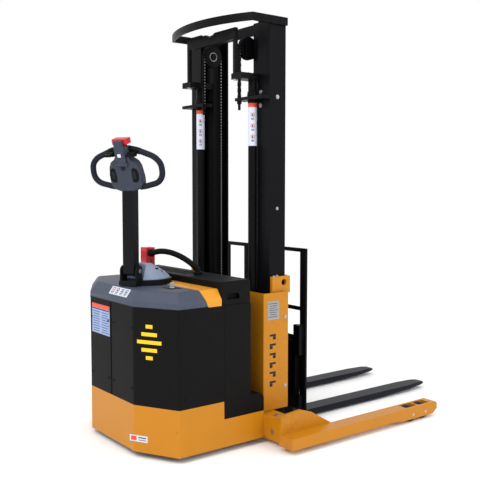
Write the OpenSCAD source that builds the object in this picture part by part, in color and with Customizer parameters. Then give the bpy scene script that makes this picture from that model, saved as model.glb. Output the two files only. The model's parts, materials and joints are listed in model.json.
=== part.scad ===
// Walkie stacker: a pedestrian-operated electric straddle stacker.
// +Y points along the forks, +X to the machine's right side, +Z up, millimetres.
// Lengths along Y are measured from the rear face of the chassis; machine() then
// moves the whole truck so that its box is centred over the origin.

/* [Chassis] */
// Width of the chassis over its side panels
chassis_w = 856; // [800:2:1040]
// Width of the flat rear face between the two angled corners
rear_face_w = 434; // [360:2:520]
// Depth of the angled corners
corner_d = 113; // [80:1:140]
// Height of the steel skirt above the floor
clearance = 28; // [22:1:40]
// Top of the steel skirt
skirt_top = 247; // [225:1:305]
// Top of the lower skirt beside the battery
sill_top = 162; // [150:1:200]
// Bottom edge of the moulded lid
lid_base = 699; // [660:1:850]
// Height of the moulded lid
lid_h = 77; // [60:1:95]
// How far the lid's top edge is set in
lid_inset = 34; // [20:1:45]
// Length of the drive bay
drive_bay_l = 362; // [350:1:440]
// Length of the battery bay
battery_bay_l = 158; // [140:1:200]
// Thickness of the moulded covers
cover_t = 4; // [3:0.5:6]
// Thickness of the frame plate
plate_t = 8; // [6:1:12]
// How far the battery cover stands above the lid
cover_rise = 34; // [20:1:45]

/* [Drive and steering] */
// Distance of the steering axis from the rear face
steer_y = 195; // [180:1:215]
// Angle that the tiller stands at, from straight back
steer_at_rest = 28; // [0:1:45]
// Radius of the drive wheel
drive_r = 115; // [100:1:120]
// Width of the drive wheel
drive_w = 75; // [60:1:90]
// Radius of the gearbox neck in the deck bearing
neck_r = 85; // [75:1:95]
// Radius of the steering disc on the lid
disc_r = 126; // [105:1:150]
// Radius of the stabiliser castors
caster_r = 50; // [40:1:60]

/* [Tiller] */
// Radius from the steering axis to the tiller tube
tiller_r = 132; // [120:1:155]
// Width of the tiller tube
tube_w = 60; // [50:1:80]
// Depth of the tiller tube
tube_d = 48; // [40:1:62]
// Height of the tilt pin above the lid
pin_rise = 72; // [60:1:90]
// Length of the tube above the tilt pin
tube_l = 386; // [320:1:460]
// Width over the two hand loops
grip_w = 408; // [360:1:440]
// Radius of the hand loops' tube
grip_r = 14; // [11:1:17]
// Backward lean of the tiller head
head_lean = 18; // [0:1:25]

/* [Mast] */
// Height of the lowered mast
mast_h = 2078; // [1900:2:2500]
// Width over the outer channels
mast_w = 690; // [630:2:760]
// Depth of a mast channel
channel_d = 102; // [90:1:120]
// Width of an outer channel's flanges
outer_flange = 94; // [70:1:110]
// Width of an inner channel's flanges
inner_flange = 62; // [50:1:75]
// Lift of the inner mast
lift_travel = 1350; // [900:10:1400]
// Radius of a lift cylinder
cylinder_r = 22; // [18:1:30]
// Radius of a piston rod
rod_r = 14; // [11:1:20]
// Pitch radius of a chain sheave
sheave_r = 54; // [45:1:58]
// Width of the lift chain
chain_w = 20; // [14:1:24]

/* [Forks and carriage] */
// Length of the forks in front of their shanks
fork_l = 1070; // [900:10:1300]
// Width of a fork
fork_w = 100; // [80:2:120]
// Thickness of a fork at its heel
fork_t = 34; // [28:1:40]
// Height of the lowered forks' top faces
fork_top = 44; // [40:1:60]
// Spacing of the forks, centre to centre
fork_pitch = 422; // [400:2:440]
// Height of the fork carriage's upper bar
carriage_top = 445; // [410:1:540]
// Width of the load backrest
backrest_w = 708; // [680:2:780]
// Top of the load backrest
backrest_top = 930; // [820:2:1120]

/* [Straddle legs] */
// Width over the straddle legs
straddle_w = 1316; // [1280:2:1580]
// Width of a leg
leg_w = 82; // [76:1:100]
// Top of a leg
leg_top = 81; // [76:1:100]
// Underside of a leg
leg_base = 26; // [20:1:32]
// Length of a leg in front of the cross beam's rear face
leg_l = 1024; // [900:2:1200]
// Radius of a load wheel
load_r = 40; // [35:1:44]
// Width of a load wheel
load_w = 50; // [40:1:56]

/* [Hidden] */
$fn = 48;

yellow = "#e8a020";
black = "#26262a";
steel = "#8b8f94";
grey = "#66707f";
silver = "#a8b8c8";

run_fit = 0.05;   // radial clearance of a running fit
gap = 0.5;        // clearance between parts that slide past each other
roller_gap = 2;   // clearance of a roller in its channel

// Chassis outline
half_w = chassis_w / 2;
half_rear = rear_face_w / 2;
corner_a = atan2(corner_d, half_w - half_rear);
lid_top = lid_base + lid_h;
cover_top = lid_top + cover_rise;
battery_y = drive_bay_l + battery_bay_l;      // front of the battery bay
tray_y = battery_y + 80;                      // front of the battery tray
tray_top = skirt_top + 5;
deck_z = lid_base - 189;                      // top face of the drive deck
caster_deck = 2 * caster_r + 42;              // underside of the castor plates
caster_x = half_w - 98;
caster_y = corner_d + 92;
caster_trail = 24;
strap_front = drive_bay_l - 14;

// Cross beam and legs
beam_y = tray_y + 6;
beam_d = 94;
beam_wall = 10;
beam_base = leg_base;
beam_top = leg_top + 55;
beam_w = straddle_w - 2 * leg_w - 78;         // the legs' gussets stand just outside it
gusset_t = 16;
leg_x = straddle_w / 2 - leg_w;               // inner face of a leg
stub_l = 260;
leg_y = beam_y - 22;
leg_end = beam_y + leg_l;
load_front_y = leg_end - 93;
load_rear_y = load_front_y - 100;
slot_w = load_w + 4;
leg_axle_r = 8;

// Mast
mast_y = beam_y + beam_d;
flange_t = 12;
inner_t = 8;
outer_in = mast_w / 2 - outer_flange;         // inner edge of an outer channel
inner_out = outer_in - 13;                    // back of an inner channel
inner_in = inner_out - inner_flange;          // inner edge of an inner channel
inner_y = mast_y + 30;
mast_base = beam_base + 10;
inner_base = mast_base + 14;
chain_x = inner_in - 8 - chain_w / 2;
chain_t = 12;
gland_z = mast_h - 404;
gland_h = 48;
gland_r = cylinder_r + 4;
cylinder_x = inner_out - 7;
cylinder_y = mast_y - sqrt(pow(gland_r + 1, 2) - pow(outer_in - cylinder_x, 2));   // 1 mm off the channel's corner
anchor_z = gland_z + 4;
anchor_t = 16;
crosshead_z = gland_z + gland_h + 56;
crosshead_t = 30;
sheave_y = mast_y + 8;
sheave_z = mast_h - 133;
sheave_pin_r = 12;
guard_t = 14;
guard_h = 38;
guard_back = 118;                             // straight side of the guard behind the mast
guard_bow = 92;                               // how far its rear bar bows out
guard_x = mast_w / 2 + guard_t;
guard_rear_y = mast_y - guard_back;
bow_r = (guard_x * guard_x + guard_bow * guard_bow) / (2 * guard_bow);
post_y = mast_y - 106;
post_x = chain_x + 47;
post_s = 18;
mast_roller_y = mast_y + channel_d / 2;
mast_roller_r = (channel_d - 2 * flange_t) / 2 - roller_gap;
carriage_roller_r = (channel_d - 2 * inner_t) / 2 - roller_gap;
roller_y = inner_y + channel_d / 2;
cover_x = mast_w / 2 + 40;                    // outer face of a mast side cover
cover_rear = mast_y - 68;
cover_sheet = 6;
cover_z = beam_top + 2;
mast_cover_top = cover_z + 587;
lug_hole_r = 16;
lug_y = mast_y + 80;
lug_hole_z = mast_cover_top + 45;

// Carriage and forks
bar_y = mast_y + channel_d + 103;
bar_t = 30;
fork_y = bar_y + bar_t + gap;
fork_x = fork_pitch / 2;
fork_tip = fork_y + fork_t + fork_l;
roller_plate_x = chain_x - chain_w / 2 - 22;
roller_plate_t = 14;
upper_roller_z = carriage_top + 25;
lower_bar_z = 90;                             // underside of the carriage's lower bar
bar_h = 72;                                   // height of the carriage's bars
lower_roller_z = lower_bar_z + 60;
lug_z = upper_roller_z + 60;
plate_rear = sheave_y + sheave_r - 10;         // rear edge of the carriage's roller plates

// Tiller head, in the tiller's own frame: origin on the tilt pin, +Z along the tube
pin_z = lid_top + pin_rise;
tilt_pin_r = 8;
tube_wall = 5;
grip_knot_r = grip_r + 0.4;                   // ball where two straights of a hand loop meet
head_h = 250;
neck_top = head_h - 36;
grip_x = grip_w / 2 - grip_r;
grip_path = [[30, 13, 196], [105, 13, 176], [grip_x - 14, 8, 138], [grip_x, 5, 100],
    [grip_x - 14, 0, 50], [110, 0, 22], [62, 0, 14]];
throttle_y = -16;
throttle_z = 178;

// The truck's box: the far left hand loop stands behind the rear face
function behind(p) = steer_y - p[0] * sin(steer_at_rest)
    - (tiller_r + p[2] * sin(head_lean) - p[1] * cos(head_lean)) * cos(steer_at_rest) - grip_knot_r;
box_rear = min(0, min([for (p = grip_path) behind(p)]));
box_mid = (box_rear + fork_tip) / 2;

// Battery cable, from the plug over the cover and down into its grommet
cable_r = 15;
cable_points = [[-132, 300, 908], [-120, 300, 908], [-92, 304, 915], [-55, 317, 921],
    [-10, 338, 918], [32, 361, 905], [68, 386, 884], [95, 410, 858], [108, 427, 838],
    [110, 430, 826], [110, 430, 812], [110, 430, 798]];

// ---------- helpers ----------

module machine() translate([0, -box_mid, 0]) children();

// both(): the child as drawn and its mirror image
module both() {
    children();
    mirror([1, 0, 0]) children();
}

// side(s): the child as drawn for the right side, mirrored for the left
module side(s) {
    if (s > 0) children();
    else mirror([1, 0, 0]) children();
}

// block(): a cuboid between two corners
module block(a, b) translate(a) cube(b - a);

// profile_x(): an outline in Y and Z, extruded from x0 to x1
module profile_x(x0, x1)
    translate([x0, 0, 0]) rotate([90, 0, 90]) linear_extrude(x1 - x0) children();

// bar(): a round bar between two points
module bar(p, q, r) {
    d = q - p;
    l = norm(d);
    translate(p) rotate([0, acos(d[2] / l), atan2(d[1], d[0])]) cylinder(h = l, r = r);
}

// x_pin(): a cylinder along X
module x_pin(x0, x1, y, z, r)
    translate([x0, y, z]) rotate([0, 90, 0]) cylinder(h = x1 - x0, r = r);

// Outline of the chassis, set in by t, from the rear face to y1
function plan(t, y1) = [
    [-(half_rear - t * tan(corner_a / 2)), t],
    [half_rear - t * tan(corner_a / 2), t],
    [half_w - t, corner_d + t * tan(45 - corner_a / 2)],
    [half_w - t, y1],
    [-(half_w - t), y1],
    [-(half_w - t), corner_d + t * tan(45 - corner_a / 2)]];

module plan_prism(t, y1, z0, z1)
    translate([0, 0, z0]) linear_extrude(z1 - z0) polygon(plan(t, y1));

module steer_frame() translate([0, steer_y, 0]) rotate([0, 0, steer_at_rest]) children();

module tiller_frame() steer_frame() translate([0, -tiller_r, pin_z]) children();

module head_frame() tiller_frame() translate([0, 0, tube_l]) rotate([head_lean, 0, 0]) children();

// ---------- chassis ----------

module base_frame() machine() color(yellow) {
    difference() {
        union() {
            difference() {
                plan_prism(0, drive_bay_l, clearance, skirt_top);
                plan_prism(plate_t, drive_bay_l - plate_t, clearance - 1, skirt_top + 1);
            }
            // sill around the battery bay, with the battery's shelf
            difference() {
                block([-half_w, drive_bay_l - plate_t, clearance], [half_w, tray_y, sill_top]);
                block([-half_w + plate_t, drive_bay_l, clearance - 1],
                    [half_w - plate_t, tray_y - plate_t, sill_top - plate_t]);
            }
            // bulkhead
            block([-half_w + cover_t + 2, drive_bay_l - plate_t, clearance],
                [half_w - cover_t - 2, drive_bay_l, lid_base - 10]);
            // drive deck and its rear uprights
            plan_prism(cover_t + 2, drive_bay_l - plate_t, deck_z - plate_t, deck_z);
            both() block([half_rear - 60, plate_t - 2, skirt_top - 30],
                [half_rear - 20, 2 * plate_t - 2, deck_z]);
            // castor plates
            both() block([half_w - 190, corner_d - 10, caster_deck],
                [half_w - plate_t, drive_bay_l - plate_t, caster_deck + plate_t]);
        }
        translate([0, steer_y, deck_z - plate_t - 1]) cylinder(h = plate_t + 2, r = neck_r + run_fit);
        // room for the joining flanges of the rear covers
        block([-cover_t - 2, 0, deck_z - plate_t - 1], [cover_t + 2, 28, deck_z + 1]);
    }
}

module rear_cover(s) machine() color(black) side(s) {
    difference() {
        plan_prism(0, drive_bay_l - gap, skirt_top, lid_base);
        plan_prism(cover_t, drive_bay_l + 1, skirt_top - 1, lid_base + 1);
        block([-half_w - 1, -1, 0], [gap, drive_bay_l + 1, lid_base + 1]);
    }
    // joining flange down the centre seam
    block([gap, cover_t, skirt_top], [gap + cover_t, cover_t + 22, lid_base]);
}

// The lid's outer form, set in by t all over and open below when drop is more than 0
module lid_form(t, drop = 0) hull() {
    plan_prism(t, drive_bay_l + drop, lid_base - drop, lid_base + 30 - t / 4);
    plan_prism(lid_inset + t, drive_bay_l + drop, lid_top - t - 1, lid_top - t);
}

// Everything behind the lid's sloping front edge, moved forward by d
module behind_edge(d) profile_x(-half_w - 1, half_w + 1)
    polygon([[-1, lid_base - 1], [272 + d, lid_base - 1], [244 + d, lid_top + 1], [-1, lid_top + 1]]);

module top_lid() machine() color(grey) difference() {
    intersection() {
        lid_form(0);
        behind_edge(0);
    }
    lid_form(cover_t, 1);
    translate([0, steer_y, lid_top - 20]) cylinder(h = 40, r = 62);
}

module lid_strap() machine() color(yellow) difference() {
    intersection() {
        lid_form(0);
        block([-half_w, 0, lid_base], [half_w, strap_front, lid_top]);
    }
    behind_edge(gap);
    lid_form(cover_t, 1);
}

module battery_box() machine() color(black) difference() {
    block([-half_w, drive_bay_l, tray_top], [half_w, battery_y, lid_base]);
    block([-half_w + cover_t, drive_bay_l - 1, tray_top - 1],
        [half_w - cover_t, battery_y - cover_t, lid_base + 1]);
}

module battery_cover() machine() color(black) {
    grip_y = drive_bay_l + 56;
    difference() {
        union() {
            difference() {
                block([-half_w + 4, strap_front + gap, lid_base], [half_w - 4, battery_y, cover_top]);
                block([-half_w + 4 + cover_t, strap_front + gap + cover_t, lid_base - 1],
                    [half_w - 4 - cover_t, battery_y - cover_t, cover_top - cover_t]);
            }
            both() block([half_w - 30, grip_y - 44, lid_base + 18],
                [half_w - 6, grip_y + 44, lid_base + 68]);
            translate([110, 430, cover_top]) cylinder(h = 10, r = cable_r + 8);
        }
        both() block([half_w - 24, grip_y - 36, lid_base + 26], [half_w, grip_y + 36, lid_base + 50]);
        translate([110, 430, cover_top - 10]) cylinder(h = 30, r = cable_r + 1);
    }
}

module battery_tray() machine() color(black) {
    corner_r = 32;
    difference() {
        profile_x(-half_w + 1, half_w - 1) union() {
            translate([drive_bay_l, sill_top])
                square([tray_y - drive_bay_l - corner_r, tray_top - sill_top]);
            translate([drive_bay_l, sill_top])
                square([tray_y - drive_bay_l, tray_top - sill_top - corner_r]);
            translate([tray_y - corner_r, tray_top - corner_r]) circle(corner_r);
        }
        block([-half_w + 6, drive_bay_l + 5, sill_top + 5], [half_w - 6, battery_y - 5, tray_top + 1]);
        block([-half_w + 6, battery_y + 3, sill_top - 1], [half_w - 6, tray_y - 6, tray_top - corner_r]);
    }
}

module battery() machine() color("#4a4d52") {
    battery_w = 620;
    battery_top = lid_base - 60;
    y0 = drive_bay_l + 10;
    y1 = battery_y - 10;
    block([-battery_w / 2, y0, sill_top + 5], [battery_w / 2, y1, battery_top]);
    for (i = [-5:6]) translate([(i - 0.5) * 46, (y0 + y1) / 2, battery_top]) cylinder(h = 8, r = 14);
    both() block([battery_w / 2 - 40, y0 + 16, battery_top], [battery_w / 2 - 12, y0 + 40, battery_top + 20]);
}

module battery_socket() machine() color(black) difference() {
    block([-192, 268, lid_top], [-128, 332, lid_top + 44]);
    block([-180, 282, lid_top + 12], [-140, 318, lid_top + 45]);
}

module disconnect_plug() machine() color("#c03034") {
    difference() {
        block([-188, 274, lid_top + 44], [-132, 326, lid_top + 160]);
        profile_x(-200, -120) translate([300, lid_top + 84]) circle(11);
    }
    block([-178, 284, lid_top + 14], [-142, 316, lid_top + 44]);
}

// ring of n points around p, in the plane square to direction d
function ring(p, d, r, n) = let (
    u = cross(d, [0, 0, 1]) / max(norm(cross(d, [0, 0, 1])), 0.001),
    v = cross(u, d))
    [for (i = [0:n - 1]) p + r * (cos(360 * i / n) * u + sin(360 * i / n) * v)];

function unit(v) = v / norm(v);

module tube_along(pts, r, n) {
    last = len(pts) - 1;
    dirs = [for (i = [0:last]) unit(pts[min(i + 1, last)] - pts[max(i - 1, 0)])];
    verts = [for (i = [0:last]) each ring(pts[i], dirs[i], r, n)];
    polyhedron(points = verts, faces = concat(
        [[for (i = [0:n - 1]) i]],
        [for (k = [0:last - 1], i = [0:n - 1])
            [k * n + i, (k + 1) * n + i, (k + 1) * n + (i + 1) % n, k * n + (i + 1) % n]],
        [[for (i = [n - 1:-1:0]) last * n + i]]), convexity = 4);
}

module battery_cable() machine() color("#202022") tube_along(cable_points, cable_r, 12);

module hydraulic_unit() machine() color(steel) {
    tank_x = half_w - 228;
    block([tank_x, steer_y + 20, deck_z], [half_w - 28, drive_bay_l - 18, deck_z + 140]);
    translate([tank_x + 90, steer_y + 20, deck_z + 66]) rotate([90, 0, 0]) cylinder(h = 112, r = 54);
    translate([tank_x + 90, steer_y + 60, deck_z + 140]) cylinder(h = 16, r = 22);
}

module motor_controller() machine() color("#9a9ea3") {
    x0 = -half_w + 28;
    block([x0, steer_y, deck_z], [x0 + 180, drive_bay_l - 18, deck_z + 40]);
    for (i = [0:8]) block([x0 + 6 + i * 20, steer_y + 6, deck_z + 40],
        [x0 + 14 + i * 20, drive_bay_l - 24, deck_z + 62]);
}

module ignition_key() machine() color(steel) translate([250, 190, lid_top]) {
    cylinder(h = 4, r = 13);
    translate([-2, -11, 4]) cube([4, 22, 24]);
}

module drive_motor() machine() color(black) steer_frame() {
    motor_r = 70;
    translate([0, 0, deck_z + 4]) cylinder(h = 150, r = motor_r);
    for (a = [0:30:330]) rotate([0, 0, a])
        translate([motor_r - 2, -3, deck_z + 24]) cube([8, 6, 110]);
}

module drive_gearbox() machine() color(steel) steer_frame() {
    wheel_x = drive_w / 2 + 5;
    difference() {
        union() {
            translate([0, 0, 2 * drive_r + 90]) cylinder(h = deck_z + 4 - 2 * drive_r - 90, r = neck_r);
            block([-wheel_x - 52, -72, 2 * drive_r + 14], [wheel_x + 14, 72, 2 * drive_r + 90]);
            block([-wheel_x - 52, -62, drive_r], [-wheel_x, 62, 2 * drive_r + 14]);
            x_pin(-wheel_x - 52, -wheel_x, 0, drive_r, 62);
        }
        x_pin(-wheel_x - 30, -wheel_x + 1, 0, drive_r, 20 + run_fit);
    }
}

module drive_wheel() machine() color("#3a3a3c") steer_frame() {
    wheel_x = drive_w / 2;
    difference() {
        x_pin(-wheel_x, wheel_x, 0, drive_r, drive_r);
        x_pin(wheel_x - 22, wheel_x + 1, 0, drive_r, drive_r - 32);
    }
    x_pin(-wheel_x - 34, -wheel_x, 0, drive_r, 20);
    for (a = [0:72:288]) translate([wheel_x - 22, 0, drive_r]) rotate([a, 0, 0])
        translate([0, 0, 42]) rotate([0, 90, 0]) cylinder(h = 12, r = 10, $fn = 6);
}

module caster_fork(s) machine() color(steel) side(s) translate([caster_x, caster_y, 0]) {
    half = 24;
    translate([0, 0, caster_deck - 22]) cylinder(h = 22, r = 34);
    block([-half - 5, -34, caster_deck - 30], [half + 5, 30, caster_deck - 22]);
    both() difference() {
        block([half, -caster_trail - 16, caster_r - 14], [half + 5, 24, caster_deck - 22]);
        x_pin(half - 1, half + 6, -caster_trail, caster_r, 6 + run_fit);
    }
}

module caster_wheel(s) machine() color("#3a3a3c") side(s) translate([caster_x, caster_y, 0]) {
    difference() {
        x_pin(-17, 17, -caster_trail, caster_r, caster_r);
        both() x_pin(14, 18, -caster_trail, caster_r, caster_r - 14);
    }
    x_pin(-29, 29, -caster_trail, caster_r, 6);
}

// ---------- cross beam and straddle legs ----------

module cross_beam() machine() color(yellow) {
    difference() {
        block([-beam_w / 2, beam_y, beam_base], [beam_w / 2, beam_y + beam_d, beam_top]);
        block([-beam_w / 2 - 1, beam_y + beam_wall, beam_base + beam_wall],
            [beam_w / 2 + 1, beam_y + beam_d - beam_wall, beam_top - beam_wall]);
    }
    // brackets that join it to the skirt
    both() block([half_w - 60, tray_y, beam_base + 12], [half_w, beam_y, sill_top - 22]);
}

module leg_bolts() machine() color(steel) both() {
    bolt_r = 11;
    for (x = [beam_w / 2 - 72, beam_w / 2 - 26])
        translate([x, beam_y + beam_d / 2, beam_top]) cylinder(h = 9, r = bolt_r, $fn = 6);
    translate([beam_w / 2 - 50, beam_y, (beam_base + beam_top) / 2 - 10]) rotate([90, 0, 0])
        cylinder(h = 8, r = bolt_r, $fn = 6);
}

module leg(s) machine() color(yellow) side(s) {
    stub_gap = 1;
    difference() {
        union() {
            profile_x(leg_x, leg_x + leg_w) polygon([
                [leg_y, leg_base], [leg_y, leg_top], [leg_end - 12, leg_top], [leg_end, leg_top - 12],
                [leg_end, leg_base + 16], [leg_end - 36, leg_base - 8],
                [load_rear_y - 96, leg_base - 8], [load_rear_y - 136, leg_base]]);
            // gusset between the leg and the beam
            profile_x(leg_x - gusset_t, leg_x) polygon([
                [leg_y, leg_base], [leg_y, beam_top + 34], [mast_y + 6, beam_top + 44],
                [mast_y + 84, beam_top + 18], [mast_y + 206, leg_top], [mast_y + 206, leg_base]]);
            // stub that slides in the beam
            block([leg_x - gusset_t - stub_l, beam_y + beam_wall + stub_gap, beam_base + beam_wall + stub_gap],
                [leg_x - gusset_t, beam_y + beam_d - beam_wall - stub_gap, beam_top - beam_wall - stub_gap]);
        }
        // wheel slots, open above and below
        for (y = [load_rear_y, load_front_y])
            block([leg_x + (leg_w - slot_w) / 2, y - load_r - 4, 0],
                [leg_x + (leg_w + slot_w) / 2, y + load_r + 4, leg_top + 1]);
        for (y = [load_rear_y, load_front_y])
            x_pin(leg_x - 1, leg_x + leg_w + 1, y, load_r, leg_axle_r);
    }
    // fixed axles
    for (y = [load_rear_y, load_front_y])
        x_pin(leg_x + 2, leg_x + leg_w - 2, y, load_r, leg_axle_r);
}

module load_wheel(s, y) machine() color("#4b4b4f") side(s) difference() {
    x_pin(leg_x + (leg_w - load_w) / 2, leg_x + (leg_w + load_w) / 2, y, load_r, load_r);
    x_pin(leg_x, leg_x + leg_w, y, load_r, leg_axle_r + run_fit);
}

// ---------- outer mast ----------

// One channel: a web at the outer side and two flanges that point inwards
module channel(x_in, x_out, y, t_web, t_flange, z0, z1) difference() {
    block([x_in, y, z0], [x_out, y + channel_d, z1]);
    block([x_in - 1, y + t_flange, z0 - 1], [x_out - t_web, y + channel_d - t_flange, z1 + 1]);
}

module outer_mast(s) machine() color(black) side(s)
    channel(outer_in, mast_w / 2, mast_y, flange_t, flange_t, mast_base, mast_h);

module outer_mast_ties() machine() color(black) {
    tie_t = 5;
    block([-outer_in, mast_y + tie_t, lid_base - 40], [outer_in, mast_y + 2 * tie_t, lid_base + 30]);
    // brackets beside the cylinder heads, which hold the chain anchors
    both() difference() {
        block([chain_x - 14, sheave_y - sheave_r - 18, anchor_z], [mast_w / 2, mast_y, anchor_z + anchor_t]);
        translate([cylinder_x, cylinder_y, anchor_z - 1]) cylinder(h = anchor_t + 2, r = gland_r + gap);
    }
    both() translate([chain_x, sheave_y - sheave_r, anchor_z - 44]) cylinder(h = 44, r = 7);
    both() translate([chain_x, sheave_y - sheave_r, anchor_z - 14]) cylinder(h = 14, r = 12, $fn = 6);
}

// The guard's rear bar is an arc through its corners that bows backwards
module top_guard() machine() color(black) {
    translate([0, 0, mast_h - guard_h]) linear_extrude(guard_h) {
        intersection() {
            translate([0, guard_rear_y - guard_bow + bow_r]) difference() {
                circle(bow_r, $fn = 160);
                circle(bow_r - guard_t, $fn = 160);
            }
            translate([-guard_x, guard_rear_y - guard_bow - 1]) square([2 * guard_x, guard_bow + 1 + guard_t]);
        }
        both() translate([guard_x - guard_t, guard_rear_y])
            square([guard_t, guard_back + channel_d]);
    }
}

module mast_cover(s) machine() color(yellow) side(s) {
    difference() {
        block([cylinder_x - cylinder_r + 14, cover_rear, cover_z], [cover_x, mast_y + 90, mast_cover_top]);
        block([0, cover_rear + cover_sheet, cover_z - 1],
            [cover_x - cover_sheet, mast_y + 91, mast_cover_top + 1]);
    }
    // spacers against the mast channel
    for (z = [cover_z + 60, mast_cover_top - 80])
        block([mast_w / 2, mast_y + 30, z], [cover_x - cover_sheet, mast_y + 60, z + 30]);
}

module lifting_lugs() machine() color(yellow) both() difference() {
    block([mast_w / 2, mast_y + 4, mast_cover_top - 10], [mast_w / 2 + 20, lug_y + 40, mast_cover_top + 76]);
    x_pin(mast_w / 2 - 1, mast_w / 2 + 21, lug_y, lug_hole_z, lug_hole_r);
}

module lift_cylinders() machine() color(black) both() translate([cylinder_x, cylinder_y, 0])
    difference() {
        union() {
            translate([0, 0, beam_top]) cylinder(h = gland_z - beam_top, r = cylinder_r);
            translate([0, 0, gland_z]) cylinder(h = gland_h, r = gland_r);
        }
        translate([0, 0, beam_top + 12]) cylinder(h = gland_z - beam_top - 12, r = rod_r + 3);
        translate([0, 0, gland_z - 1]) cylinder(h = gland_h + 2, r = rod_r + run_fit);
    }

// ---------- inner mast ----------

module lift_rods() machine() color("#c8ccd0") both() {
    rod_base = beam_top + 40;
    translate([cylinder_x, cylinder_y, rod_base]) cylinder(h = crosshead_z - rod_base, r = rod_r);
}

module inner_mast(s) machine() color(black) side(s) {
    channel(inner_in, inner_out, inner_y, inner_t + 2, inner_t, inner_base, mast_h - 8);
    // bracket and pin of the chain sheave, and the roller's stub
    block([inner_in, sheave_y - 30, sheave_z - 40], [inner_in + 10, inner_y + 1, sheave_z + 40]);
    x_pin(chain_x - chain_w / 2 - 6, inner_in + 1, sheave_y, sheave_z, sheave_pin_r);
    x_pin(inner_out - 1, outer_in + 36, mast_roller_y, inner_base + 110, 14);
}

module inner_mast_ties() machine() color(black) {
    tie_t = 10;
    for (z = [[inner_base + 40, inner_base + 130], [mast_h - 68, mast_h - 14]])
        block([-inner_in, inner_y + 1, z[0]], [inner_in, inner_y + 1 + tie_t, z[1]]);
    // crossheads that the rods push up
    both() block([inner_in + 6, post_y - post_s / 2, crosshead_z],
        [cylinder_x + 32, mast_y - 2, crosshead_z + crosshead_t]);
    both() block([inner_in + 6, mast_y - 3, crosshead_z], [inner_out - 2, inner_y, crosshead_z + crosshead_t]);
    both() translate([cylinder_x, cylinder_y, gland_z + gland_h + 2]) difference() {
        cylinder(h = crosshead_z - gland_z - gland_h - 1, r = cylinder_r);
        translate([0, 0, -1]) cylinder(h = crosshead_z - gland_z - gland_h - 1, r = rod_r);
    }
    // posts and the bar that joins them
    both() translate([post_x, post_y, crosshead_z + crosshead_t])
        translate([-post_s / 2, -post_s / 2, 0]) cube([post_s, post_s, mast_h - 48 - crosshead_z - crosshead_t]);
    translate([0, post_y + post_s / 2, 0]) rotate([90, 0, 0]) linear_extrude(post_s)
        polygon([[-post_x, mast_h - 104], [-post_x, mast_h - 48], [-40, mast_h - 48], [0, mast_h - 66],
            [40, mast_h - 48], [post_x, mast_h - 48], [post_x, mast_h - 104]]);
}

module chain_sheaves() machine() color(steel) both() translate([chain_x, sheave_y, sheave_z])
    rotate([0, 90, 0]) difference() {
        union() {
            cylinder(h = chain_w, r = sheave_r - chain_t / 2 - 0.3, center = true);
            for (z = [-1, 1]) translate([0, 0, z * (chain_w / 2 + 1.5)])
                cylinder(h = 3, r = sheave_r + 2, center = true);
        }
        cylinder(h = chain_w + 10, r = sheave_pin_r + run_fit, center = true);
    }

// Each chain: up from its fixed anchor, over the sheave and down to the carriage
module lift_chains() machine() color("#3c3c3e") both()
    profile_x(chain_x - chain_w / 2 + 1, chain_x + chain_w / 2 - 1) {
        rear = sheave_y - sheave_r - chain_t / 2;
        front = sheave_y + sheave_r - chain_t / 2;
        translate([rear, anchor_z + anchor_t]) square([chain_t, sheave_z - anchor_z - anchor_t]);
        translate([front, lug_z + 26]) square([chain_t, sheave_z - lug_z - 26]);
        intersection() {
            translate([sheave_y, sheave_z]) difference() {
                circle(sheave_r + chain_t / 2);
                circle(sheave_r - chain_t / 2);
            }
            translate([sheave_y - 100, sheave_z]) square([200, 100]);
        }
    }

module mast_rollers() machine() color(steel) both() difference() {
    x_pin(outer_in + 2, outer_in + 34, mast_roller_y, inner_base + 110, mast_roller_r);
    x_pin(outer_in, outer_in + 37, mast_roller_y, inner_base + 110, 14 + run_fit);
}

// ---------- carriage and forks ----------

module carriage_frame() machine() color(black) {
    bar_w = backrest_w - 28;
    for (z = [lower_bar_z, carriage_top - bar_h])
        block([-bar_w / 2, bar_y, z], [bar_w / 2, bar_y + bar_t, z + bar_h]);
    both() profile_x(roller_plate_x, roller_plate_x + roller_plate_t) polygon([
        [plate_rear, lower_bar_z + 10], [plate_rear, lug_z + 26], [roller_y + 50, lug_z + 26],
        [bar_y, carriage_top], [bar_y, lower_bar_z + 10]]);
    // struts at the ends of the bars
    both() block([bar_w / 2 - 50, bar_y, lower_bar_z + bar_h],
        [bar_w / 2 - 30, bar_y + bar_t, carriage_top - bar_h]);
    both() for (z = [lower_roller_z, upper_roller_z])
        x_pin(roller_plate_x + roller_plate_t, inner_out - inner_t - 6, roller_y, z, 15);
    // lugs that the chains pull on
    both() block([roller_plate_x + roller_plate_t - 1, plate_rear, lug_z],
        [chain_x + chain_w / 2, sheave_y + sheave_r + 14, lug_z + 26]);
}

module carriage_rollers(z) machine() color(steel) both() difference() {
    x_pin(inner_in + 4, inner_out - inner_t - 8, roller_y, z, carriage_roller_r);
    x_pin(inner_in, inner_out, roller_y, z, 15 + run_fit);
}

module load_backrest() machine() color(black) {
    post_w = 45;
    post_t = 12;
    rail_h = 20;
    rest_y = bar_y + bar_t;
    x1 = backrest_w / 2;
    both() block([x1 - post_w, rest_y, lower_bar_z - 11], [x1, rest_y + post_t, backrest_top]);
    both() block([x1 - post_w - 141 - 40, rest_y, carriage_top + 10],
        [x1 - post_w - 141, rest_y + post_t, backrest_top]);
    for (z = [backrest_top - rail_h, carriage_top + 158])
        block([-x1, rest_y, z], [x1, rest_y + post_t, z + rail_h]);
    block([-x1, rest_y, carriage_top + 10], [x1, rest_y + post_t, carriage_top + 22]);
    // feet that stand on the carriage's upper bar
    both() block([x1 - 62, bar_y, carriage_top], [x1 - 14, rest_y, carriage_top + 86]);
}

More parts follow.
